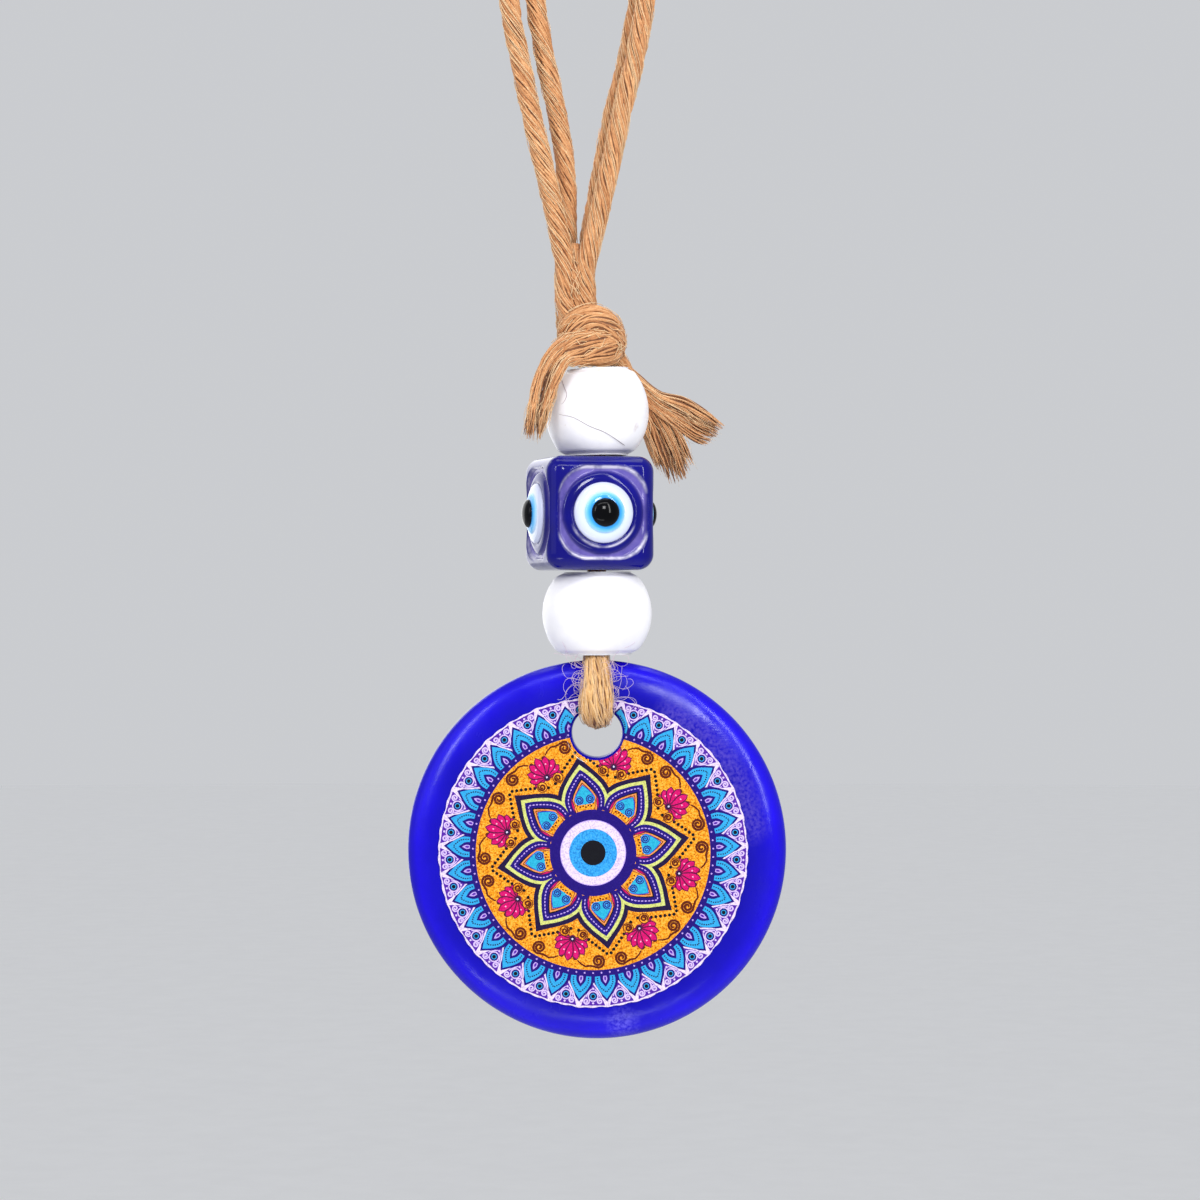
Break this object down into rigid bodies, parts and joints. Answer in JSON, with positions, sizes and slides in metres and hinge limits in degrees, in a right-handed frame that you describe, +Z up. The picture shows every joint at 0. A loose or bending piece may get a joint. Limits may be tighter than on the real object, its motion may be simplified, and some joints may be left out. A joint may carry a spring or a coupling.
{
  "type": "evil eye ornament",
  "caption": "Hanging glass eye amulet: a cobalt disc with a printed medallion below a cube eye bead and white beads on a knotted cord loop.",
  "frame": {"origin": "the hang point, inside the top of the cord loop, where a hook or twig holds it", "axes": "+Z up along the hanging cord, the printed front faces -Y, +X to the right seen from the front"},
  "size_m": [0.0496, 0.0182, 0.1607],
  "materials": {
    "waxed_cord": "matt waxed cotton, twisted",
    "white_bead": "glossy white",
    "navy_glass": "deep navy, opaque, fire-polished",
    "cobalt_glass": "cobalt blue, nearly opaque, moulded",
    "printed_film": "ink print under a clear gloss coat",
    "eye_white_glass": "opaque white",
    "eye_blue_glass": "opaque light blue",
    "eye_black_glass": "opaque black"
  },
  "bodies": {
    "hanging_cord": {"loop_strand_front": "waxed_cord", "loop_strand_rear": "waxed_cord", "cord_knot": "waxed_cord", "frayed_end_left": "waxed_cord", "frayed_end_right": "waxed_cord", "core_leg_front": "waxed_cord", "core_leg_rear": "waxed_cord"},
    "upper_white_bead": {"upper_bead": "white_bead"},
    "cube_eye_bead": {"cube_bead_body": "navy_glass", "eye_white_front": "eye_white_glass", "eye_iris_front": "eye_blue_glass", "eye_pupil_front": "eye_black_glass", "eye_white_right": "eye_white_glass", "eye_iris_right": "eye_blue_glass", "eye_pupil_right": "eye_black_glass", "eye_white_rear": "eye_white_glass", "eye_iris_rear": "eye_blue_glass", "eye_pupil_rear": "eye_black_glass", "eye_white_left": "eye_white_glass", "eye_iris_left": "eye_blue_glass", "eye_pupil_left": "eye_black_glass"},
    "lower_white_bead": {"lower_bead": "white_bead"},
    "disc_bight": {"cord_bight": "waxed_cord"},
    "disc": {"glass_disc": "cobalt_glass", "printed_medallion": "printed_film"}
  },
  "joints": [
    {"name": "upper_bead_spin", "type": "hinge", "parent": "hanging_cord", "child": "upper_white_bead", "pos_m": [0, 0, -0.0761], "axis": [0, 0, 1], "continuous": true},
    {"name": "cube_spin", "type": "hinge", "parent": "hanging_cord", "child": "cube_eye_bead", "pos_m": [0, 0, -0.0894], "axis": [0, 0, 1], "continuous": true},
    {"name": "lower_bead_spin", "type": "hinge", "parent": "hanging_cord", "child": "lower_white_bead", "pos_m": [0, 0, -0.10245], "axis": [0, 0, 1], "continuous": true},
    {"name": "disc_twist", "type": "hinge", "parent": "hanging_cord", "child": "disc_bight", "pos_m": [0, 0, -0.1055], "axis": [0, 0, 1], "range_deg": [-90, 90]},
    {"name": "disc_swing", "type": "hinge", "parent": "disc_bight", "child": "disc", "pos_m": [0, 0, -0.11633], "axis": [0, 1, 0], "range_deg": [-8, 8]}
  ]
}
